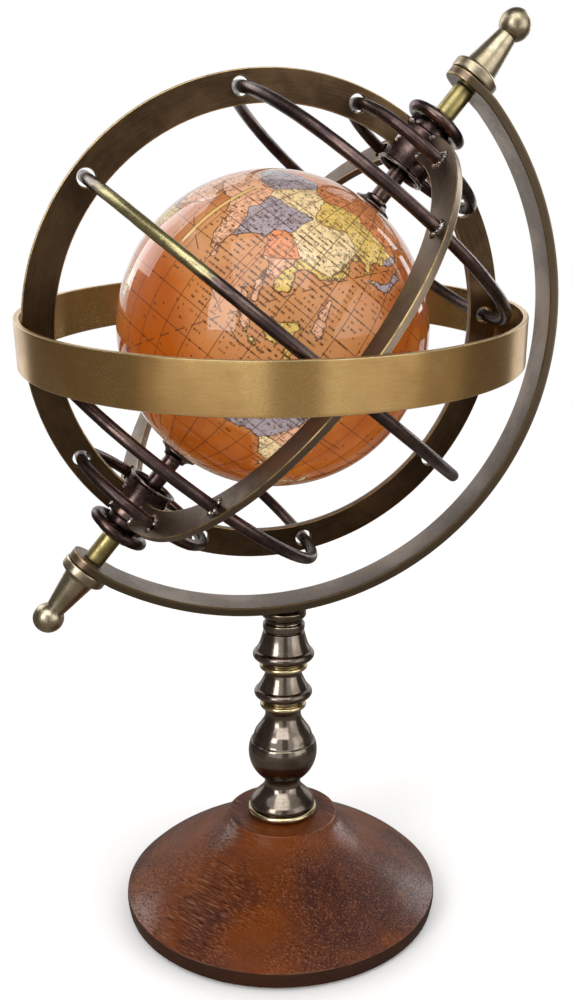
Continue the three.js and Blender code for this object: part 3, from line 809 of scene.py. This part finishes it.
def build_strip():
    points = points_in("support_arc", ARC)
    width = np.ptp(points[:, 2])
    tabs = np.abs(points[points[:, 0] < 0][:, 1])
    thickness = np.ptp(tabs)
    arc = points[points[:, 0] > 2 * width]  # well away from the tabs
    fit = np.linalg.lstsq(np.c_[arc[:, 0], np.ones(len(arc))], (arc[:, :2] ** 2).sum(axis=1), rcond=None)[0]
    offset = -fit[0] / 2
    radius = np.hypot(arc[:, 0] + offset, arc[:, 1]).max() - thickness / 2
    tab_at = tabs.min() + thickness / 2
    reach = math.sqrt(radius**2 - tab_at**2) - offset
    line, widths = strip_path(reach, tab_at, offset, radius, width / 2)
    ahead = np.gradient(line, axis=0)
    ahead /= np.linalg.norm(ahead, axis=1)[:, None]
    vertices, edge, faces = [], [], []
    for point, direction, half_width in zip(line, ahead, widths):
        section = strip_section(half_width, thickness / 2)
        outward = np.array([-direction[1], direction[0]])
        vertices += [(*(point + outward * through), across) for across, through, _ in section]
        edge += [worn for _, _, worn in section]
    count, last = len(section), len(vertices) - len(section)
    for here in range(0, last, count):
        there = here + count
        for j in range(count):
            k = (j + 1) % count
            faces.append((here + j, here + k, there + k, there + j))
    faces += [tuple(range(count)), tuple(range(last, last + count))]
    strip = new_piece("bent_support_strip", vertices, faces, ARC, edge)
    look = metal("strip_bronze", "78685B 605246 C2A878 3A302A", 0.34, patch=30, wear=0.55,
                 overlay=side_faces(width / 2))
    finished(strip, "stand", "strip_bronze", look, "support_arc")


# --- the axle and what is threaded on it ---


def finial_outline(span):
    low, tip, ball = span.low, span.high, 6.5
    collar_top, ball_foot = low + 4.8, span.high - 2 * ball
    return [
        (span.bore, low, 0),
        (9.7, low, 0.3),
        (10, low + 0.6, 0.3),
        (10, collar_top - 1.1, 0.4),
        (9.2, collar_top - 0.1, 0.5),
        (7.2, collar_top + 0.1, 0.6),
        (6.85, collar_top + 0.9, 0.5),
        (4.25, ball_foot + 1.0, 0.3),
        (3.9, ball_foot + 1.25, 0.1),
        *bead(0, tip - ball, ball, -53, 89.9, 26),
        (0, tip, 0),
        (0, ball_foot, 0),
        (span.bore, ball_foot, 0),
    ]


def disc_outline(span):
    face = span.high - 2
    edge = (face - span.low) / 2
    return [
        (span.bore, span.low + 1.7, 0),
        (8.8, span.low + 1.7, 0.3),
        (10.4, span.low + 0.1, 0.4),
        *bead(span.radius - edge, span.low + edge, edge, -80, 74, 14),
        (10.6, face + 0.15, 0.6),
        (7.6, face + 1.5, 0.8),
        (5.2, span.high, 0.5),
        (span.bore, span.high, 0),
    ]


def hub_outline(span):
    stub = span.high - 4.8
    return [
        (span.bore, span.low + 11.9, 0),
        (8.3, span.low + 11.9, 0.6),
        (8.8, span.low + 1.2, 0.3),
        (9.6, span.low, 0.3),
        (span.radius, span.low + 0.1, 0.3),
        (span.radius, span.low + 0.8, 0.2),
        (10.1, span.low + 1.5, 0.4),
        (10, stub - 0.9, 0.5),
        (9.3, stub, 0.5),
        (7.5, stub + 0.1, 0.3),
        (7.3, span.high - 0.2, 0.3),
        (span.bore, span.high, 0),
    ]


def pole_cap_outline(span):
    low = span.low + 0.45
    return [
        (span.bore, low, 0),
        (span.radius, span.low + 0.02, 0.2),
        (span.radius, low + 0.3, 0.3),
        (6.9, low + 0.75, 0.3),
        (6.0, low + 1.3, 0.5),
        (5.1, low + 2.2, 0.5),
        (4.9, span.high - 0.2, 0.3),
        (4.3, span.high, 0.2),
        (span.bore, span.high, 0),
    ]


def tube_outline(span):
    return [(span.bore, span.low, 0), (span.radius, span.low, 0.3), (span.radius, span.high, 0.3),
            (span.bore, span.high, 0)]


AXLE_PIECES = [
    # CAD node, outline, body, record slot, look, depth of the dents in millimetres
    ("finial", finial_outline, "stand", "antique_brass", "antique", 0.05),
    ("spacer", tube_outline, "stand", "bright_brass", "bright", 0.03),
    ("disc_washer", disc_outline, "stand", "dark_bronze", "bronze", 0.1),
    ("hub", hub_outline, "cage", "dark_bronze", "bronze", 0.14),
    ("inner_tube", tube_outline, "stand", "dark_bronze", "bronze", 0.05),
    ("pole_cap", pole_cap_outline, "globe", "dark_bronze", "bronze", 0.05),
]


def build_axle_pieces(looks):
    for end, where in (("upper", POLAR), ("lower", LOWER)):
        for name, outline_of, body, slot, look, dents in AXLE_PIECES:
            node = f"{end}_{name}"
            span = Span(node, where)
            piece = turned(node + "_turned", rounded(outline_of(span)), where, segments=112, step=0.7)
            finished(dented(piece, dents, 5), body, slot, looks[look], node)


def build_globe():
    radius = Span("globe_north_shell", POLAR).radius
    wall, hole, joint = 1.6, 3.3, 0.04
    look = map_look(radius)
    for half, sign in (("north", 1), ("south", -1)):
        def arc(size, count):
            low, high = math.asin(joint / size), math.acos(hole / size)
            return arc_points(size, sign * np.linspace(low, high, count))
        outline = np.array(arc(radius, 100) + arc(radius - wall, 30)[::-1])
        shell = turned(f"printed_{half}_half", outline, POLAR, segments=360, step=6)
        points = np.array([v.vector[:] for v in shell.data.attributes["local"].data]) / MM
        for name, values in map_layers(points, radius).items():
            point_values(shell.data, name, values)
        finished(shell, "globe", "globe_map", look, f"globe_{half}_shell")


# --- the cage ---

HANDLED_AT, HANDLED_REACH = 214, 26  # degrees round the cage: the stretch of the equator rod that is worn
RODS = ["south_polar_rod", "south_tropic_rod", "equator_rod", "north_tropic_rod", "north_polar_rod"]
PLATES = ["meridian_plate_right", "meridian_plate_back", "meridian_plate_left", "meridian_plate_front"]
PLATE_PLACES = [CAGE @ place(Vector((c, s, 0)), Vector((0, 0, 1)), Vector((s, -c, 0)), Vector((0, 0, 0)))
                for c, s in ((1, 0), (0, 1), (-1, 0), (0, -1))]


def rod_ring(node):
    """A bent round bar, a little uneven, whose ends are welded to each other."""
    span = Span(node, CAGE)
    section = span.height / 2
    ring = span.radius - section
    at = (span.low + span.high) / 2
    around, sides = 300, 28
    drifting, rising, swelling, handling = 0.35, 0.3, 0.02, 0.5  # how uneven bending and hands left it
    seed = RODS.index(node) * 7.3
    vertices, faces, rubbed = [], [], []
    for i in range(around):
        turn = 2 * math.pi * i / around
        away = Vector((math.cos(turn), math.sin(turn), 0))
        drift = noise.noise(away * 1.7 + Vector((seed, 0, 0))) * drifting
        rise = noise.noise(away * 1.7 + Vector((0, seed, 9))) * rising
        swell = 1 + swelling * noise.noise(away * 14 + Vector((seed, 4, 0)))
        handled = noise.noise(away * 2.3 + Vector((seed, 2, 2))) * handling
        if node == "equator_rod":
            handled = 0.9 * math.exp(-(((math.degrees(turn) - HANDLED_AT) / HANDLED_REACH) ** 2))
        rubbed += [handled] * sides
        a, b = i * sides, (i + 1) % around * sides
        for j in range(sides):
            side, k = 2 * math.pi * j / sides, (j + 1) % sides
            reach = ring + drift + section * swell * math.cos(side)
            vertices.append((*(away * reach)[:2], at + rise + section * swell * math.sin(side)))
            faces.append((a + j, b + j, b + k, a + k))
    piece = new_piece(node + "_bent", vertices, faces, CAGE)
    point_values(piece.data, "rubbed", rubbed)
    return piece, ring, at


class Plate:
    """The half ring plates' common shape in millimetres: rims, rod holes and the flat cut beside the hub."""

    def __init__(self, holes, rod_radius):
        points = points_in(PLATES[0], CAGE)
        self.radius = math.sqrt(np.linalg.norm(points, axis=1).max() ** 2 - points[:, 1].max() ** 2)
        self.inner = np.hypot(points[:, 0], points[:, 2]).min()
        self.thickness = np.ptp(points[:, 1])
        self.hub = Span(PLATES[0], CAGE).bore - 0.4
        self.holes, self.hole_radius = holes, rod_radius + 1.15

    def cut(self, name, where):
        """Half of a flat ring with eased edges and round holes, cut straight beside the hub."""
        ease = 0.35
        outer, inner, hole = self.radius - ease, self.inner + ease, self.hole_radius + ease
        outer_end, inner_end = math.acos(self.hub / outer), math.acos((self.hub + ease) / inner)
        outline = arc_points(outer, np.linspace(-outer_end, outer_end, 160))
        outline += arc_points(inner, np.linspace(inner_end, -inner_end, 150))
        turn = np.linspace(0, -2 * math.pi, 40, endpoint=False)
        curve = bpy.data.curves.new(name, "CURVE")
        curve.dimensions, curve.fill_mode = "2D", "BOTH"
        curve.extrude = (self.thickness / 2 - ease) * MM
        curve.bevel_depth, curve.bevel_resolution = ease * MM, 3
        for points in (outline, *(arc_points(hole, turn, centre) for centre in self.holes)):
            line = curve.splines.new("POLY")
            line.points.add(len(points) - 1)
            for target, (x, y) in zip(line.points, points):
                target.co = (x * MM, y * MM, 0, 1)
            line.use_cyclic_u = True
        return shaded(link(name, baked(added(name, curve)), where), 30)

    def face_and_gap(self, look):
        """1 on the flat faces, and how far each point is from the nearest rim or hole in metres."""
        x, y, z = look.axes()
        face = abs(z).rescaled((self.thickness / 2 - 0.55) * MM, (self.thickness / 2 - 0.35) * MM)
        flat = look.joined(x, y)
        away = look.vector("LENGTH", flat, output="Value")
        gaps = [abs(away - rim * MM) for rim in (self.radius, self.inner)]
        for hole_x, hole_y in self.holes:
            off = look.vector("DISTANCE", flat, (hole_x * MM, hole_y * MM, 0), "Value")
            gaps.append(abs(off - self.hole_radius * MM))
        return face, look.most(*gaps, operation="MINIMUM")

    def look(self):
        """Smooth brown plate with a thin worn line along every edge and paler sawn rims."""
        def edges(look):
            face, gap = self.face_and_gap(look)
            return gap.rescaled(0.5 * MM, 0.25 * MM, 0.0, 0.6) * face

        def rims(look, tint):
            face, gap = self.face_and_gap(look)
            return tint.under(gap.rescaled(0.2 * MM, 0.1 * MM) * (1.0 - face) * 0.75, "7C7062")

        return metal("plate_bronze", "574431 3C2D21 BCA272 1C140E", 0.34, patch=38, wear=1.0, pits=0.3,
                     edges=edges, overlay=rims)


def weld(name, centres, sizes, where, seed, look):
    """Lumps of weld metal run together into one closed piece."""
    lumpiness, lump, voxel = 0.22, 0.6, 0.2
    work = bmesh.new()
    for i, (centre, size) in enumerate(zip(centres, sizes)):
        made = bmesh.ops.create_icosphere(work, subdivisions=3, radius=size * MM)
        for vertex in made["verts"]:
            bump = 1 + lumpiness * noise.noise(vertex.co / (lump * MM) + Vector((seed + i, 0, 0)))
            vertex.co = vertex.co * bump + Vector(centre) * MM
    mesh = bpy.data.meshes.new(name)
    work.to_mesh(mesh)
    work.free()
    holder = added(name, mesh)
    remesh = holder.modifiers.new("joined", "REMESH")
    remesh.mode, remesh.voxel_size = "VOXEL", voxel * MM
    finished(shaded(link(name, baked(holder), where), 180), "cage", "dark_bronze", look)


def weld_on_hubs(plate, i, where, look):
    """Beads of weld between a plate's straight cuts and the two hubs."""
    facing = PLATES[i].split("_")[-1]
    for end, side in (("upper", 1), ("lower", -1)):
        heights = np.linspace(plate.inner + 0.2, plate.radius - 1.4, 17)
        drift = [noise.noise(Vector((i * 9.1 + side, k * 0.6, 0))) for k in range(len(heights))]
        depths = [(-1) ** i * plate.thickness * (0.5 if d > -0.1 else -0.5) for d in drift]
        centres = [(plate.hub + 0.25 + 0.5 * d, side * h, z) for h, d, z in zip(heights, drift, depths)]
        weld(f"{end}_weld_{facing}", centres, [1.0 + 1.1 * abs(d) for d in drift], where, 10 * i + side, look)


def weld_round_rods(plate, rings, rod_radius, where, look):
    """Beads of weld round the rods on both faces of the front plate. The equator rod has none."""
    for number, node in enumerate(RODS):
        if node == "equator_rod":
            continue
        ring, at = rings[node]
        for side, face in (("left", -plate.thickness / 2), ("right", plate.thickness / 2)):
            turns = np.linspace(0.4, 5.2, 11) + number
            drift = [noise.noise(Vector((number * 5.7 + face, k * 0.7, 3))) for k in range(len(turns))]
            reach = [rod_radius + 0.35 + 0.5 * d for d in drift]
            centres = [(ring + r * math.cos(t), at + r * math.sin(t), face) for r, t in zip(reach, turns)]
            sizes = [0.95 + 0.9 * abs(d) for d in drift]
            weld(f"{side}_weld_{node}", centres, sizes, where, 40 + 3 * number, look)


def build_cage(looks):
    rings = {}
    for node in RODS:
        piece, *rings[node] = rod_ring(node)
        finished(piece, "cage", "dark_bronze", looks["rod"], node)
    rod_radius = Span(RODS[0], CAGE).height / 2
    plate = Plate(list(rings.values()), rod_radius)
    plate_look = plate.look()
    for i, (node, where) in enumerate(zip(PLATES, PLATE_PLACES)):
        finished(plate.cut(node + "_cut", where), "cage", "plate_bronze", plate_look, node)
        weld_on_hubs(plate, i, where, looks["weld"])
    weld_round_rods(plate, rings, rod_radius, PLATE_PLACES[-1], looks["weld"])
    band, ease = Span("ecliptic_band", BAND), 0.45
    section = [(band.bore, band.low), (band.radius, band.low),
               (band.radius, band.high), (band.bore, band.high)]
    ring = turned("ecliptic_band_rolled", rounded(section, ease, steps=5), BAND, segments=320)
    finished(ring, "cage", "band_brass", looks["band"], "ecliptic_band")


# --- hidden CAD pieces that stay, the floor, the lights and the camera ---


def build_hidden(looks):
    """The hidden pieces keep their CAD nodes and only get better looks."""
    for node in ("polar_axle", "tie_rod", "tie_nut", "tie_washer", "arc_washer"):
        for slot in frame["nodes"][node].material_slots:
            slot.material = looks["packing" if node == "arc_washer" else "steel"]


def from_centre(azimuth, distance, height):
    """A place round the globe: azimuth 0 is in front, towards -Y, and 90 is to the right."""
    turn = math.radians(azimuth)
    return CENTRE + Vector((math.sin(turn) * distance, -math.cos(turn) * distance, height))


def soft_light(name, position, size, radiance, tint, on_matt, kept_off=(), only_on=()):
    """A rectangular softbox that faces the globe. radiance is in times the white room's brightness."""
    data = bpy.data.lights.new(name, "AREA")
    data.shape = "RECTANGLE"
    data.size, data.size_y = size
    data.energy = radiance * math.pi * size[0] * size[1]
    data.color = tint
    lamp = added(name, data)
    lamp.location = position
    lamp.rotation_euler = (CENTRE - position).to_track_quat("-Z", "Y").to_euler()
    lamp.visible_camera = False
    lamp.visible_diffuse = on_matt
    if kept_off or only_on:
        flagged = bpy.data.collections.new(name + "_flag")
        lamp.light_linking.receiver_collection = flagged
        for piece_name in kept_off or only_on:
            flagged.objects.link(bpy.data.objects[piece_name])
        for entry in flagged.collection_objects:
            entry.light_linking.link_state = "EXCLUDE" if kept_off else "INCLUDE"


def level(x, y, height):
    """A level rectangle's corners, from how far it reaches along X and Y."""
    return [(x[0], y[0], height), (x[1], y[0], height), (x[1], y[1], height), (x[0], y[1], height)]


def stage_plane(name, corners, look):
    mesh = bpy.data.meshes.new(name)
    mesh.from_pydata(corners, [], [(0, 1, 2, 3)])
    mesh.materials.append(look)
    plane = added(name, mesh)
    return plane


def mirrored_card(name, corners, look):
    """A card that only reflections see, so that the metal has something dark to mirror."""
    card = stage_plane(name, corners, look)
    card.visible_camera = card.visible_diffuse = card.visible_shadow = False


def bent_cards(name, azimuths, height, look, near=0.24, far=1.5, parts=3):
    """Cards side by side round the globe, each lying on the table and then standing up at its far end."""
    turns = np.linspace(*azimuths, parts + 1)
    for part, ends in enumerate(zip(turns, turns[1:])):
        inner, outer = [[from_centre(a, reach, 0).xy for a in ends] for reach in (near, far)]
        lying = [(*corner, 0.001) for corner in (*inner, *outer[::-1])]
        upright = [(*corner, 0.001) for corner in outer] + [(*corner, height) for corner in outer[::-1]]
        mirrored_card(f"{name}_lying_{part}", lying, look)
        mirrored_card(f"{name}_upright_{part}", upright, look)


def plain_paint(name, paints, scale, detail=3, **sockets):
    look = Look(name, **sockets)
    first, second = (colour(paint) for paint in paints.split())
    return look.finish(Base_Color=look.mixed(look.noise(scale, detail), first, second))


def build_studio():
    paint = plain_paint("studio_floor", "FEFEFE FFFFFF", 3, 2, Roughness=0.9, Specular_IOR_Level=0.0)
    dark = plain_paint("shade_card", "4A443F 6C645D", 5, Roughness=1.0)
    pale = plain_paint("shade_card_pale", "7C736B 8E857C", 5, Roughness=1.0)
    stage_plane("floor", level((-40, 40), (-40, 40), 0), paint)
    mirrored_card("card_table", level((-0.8, 0.8), (-0.8, 0.8), 0.0006), pale)
    mirrored_card("card_ceiling", level((-1.3, 1.3), (-0.35, 1.6), 1.9)[::-1], dark)
    for name, azimuths, height, look in (
        ("card_left", (-138, -62), 1.5, dark),
        ("card_left_pale", (-62, -53), 1.5, pale),
        ("card_front", (-8, 14), 1.3, pale),
        ("card_right_pale", (56, 80), 1.3, pale),
        ("card_right", (80, 122), 1.3, dark),
    ):
        bent_cards(name, azimuths, height, look)
    # Flags: the band mirrors only the room and the cards, and no haze falls on the wood and the column.
    band, wooden = ["ecliptic_band_rolled"], ["turned_wooden_base"]
    dark_parts = band + wooden + [node + "_turned" for node in COLUMN]
    white = (1, 1, 1)
    for name, at, size, radiance, tint, settings in (
        ("window", (-42, 1.15, 0.36), (0.42, 0.6), 6.5, (1, 0.97, 0.94), {"kept_off": band}),
        ("window_behind", (-132, 1.3, 0.75), (0.9, 1.2), 2.6, (1, 0.98, 0.96), {"kept_off": dark_parts}),
        ("fill", (56, 1.3, 0.15), (0.95, 1.2), 1.5, (1, 0.98, 0.95), {"kept_off": band}),
        ("glow_right", (124, 1.3, 0.5), (0.6, 0.9), 2.6, white, {"kept_off": dark_parts}),
        ("sheen_left", (-120, 1.2, 0.06), (0.5, 0.7), 8.0, white, {"only_on": wooden}),
        ("sheen_right", (118, 1.2, 0.06), (0.5, 0.7), 8.0, white, {"only_on": wooden}),
        ("overhead", (-8, 0.85, 1.1), (1.3, 0.9), 2.8, white, {"kept_off": band + wooden}),
    ):
        on_matt = name in ("window", "fill")
        soft_light(name, from_centre(*at), size, radiance, tint, on_matt, **settings)
    world = bpy.data.worlds.new("studio")
    bpy.context.scene.world = world
    world.use_nodes = True
    world.node_tree.nodes["Background"].inputs["Color"].default_value = (1, 1, 1, 1)
    bpy.context.scene.view_settings.view_transform = "Standard"


def build_camera():
    yaw, pitch, roll = 0.1603, 0.2469, 0.02
    data = bpy.data.cameras.new("camera")
    data.sensor_width = 36
    data.lens = 38.86
    data.shift_x, data.shift_y = -0.0485, 0.0213
    data.clip_start, data.clip_end = 0.01, 60
    camera = added("camera", data)
    camera.location = CENTRE + Vector((-0.0455, -0.4461, 0.033))
    turn = Matrix.Rotation(-yaw, 4, "Z") @ Matrix.Rotation(math.pi / 2 - pitch, 4, "X")
    camera.rotation_euler = (turn @ Matrix.Rotation(roll, 4, "Z")).to_euler()
    bpy.context.scene.camera = camera


def all_looks():
    # On the column the lighter of the patch tones is partly patina and partly a painted reflection of
    # windows.
    gunmetal = {"paints": "7C736B 5E534B C4B48C 1C1512", "rough": 0.14, "patch": 60}
    bronze = {"paints": "66544E 3A2D2E 9C8C80 17100E", "rough": 0.22, "patch": 110, "grain": 2.5,
              "mark_depth": 0.35, "wear": 0.5}
    return {
        "wood": wood(),
        "felt": felt(),
        "steel": metal("plain_steel", "8E8D8A 7A7875 C9C7C2 3A3734", 0.35, on_cad=True),
        "packing": metal("packing_bronze", on_cad=True, **bronze),
        "gunmetal": metal("column_gunmetal", wear=0.5, **gunmetal),
        "beaded": metal("column_gunmetal_beaded", wear=0.4, overlay=gold_bead, **gunmetal),
        "bronze": metal("dark_bronze", **bronze),
        "rod": metal("rod_bronze", "5C4C48 3C3032 94846C 17100E", 0.27, patch=80, grain=4.0, mark_depth=0.4,
                     wear=0.5, overlay=worn_stretch),
        "antique": metal("antique_brass", "A89E88 8C8169 D4CCB6 4A4230", 0.27, patch=120, streak=0.12,
                         marks=1500, wear=0.5),
        "bright": metal("bright_brass", "A39766 867B50 CFC59A 4E4626", 0.33, patch=190, grain=2.0,
                        mark_depth=0.3),
        "band": metal("band_brass", "DCB676 C69C60 F2DCA8 4E3C22", 0.28, patch=22, streak=0.2, marks=3000,
                      mark_depth=0.12, wear=1.0, anisotropy=0.8, pits=0.2),
        "weld": metal("weld_silver", "A8A098 54484A F0EAE2 2A2220", 0.24, patch=420, grain=2.0,
                      mark_depth=0.4),
    }


looks = all_looks()
build_camera()
build_base(looks)
build_column(looks)
build_strip()
build_axle_pieces(looks)
build_globe()
build_cage(looks)
build_hidden(looks)
build_studio()
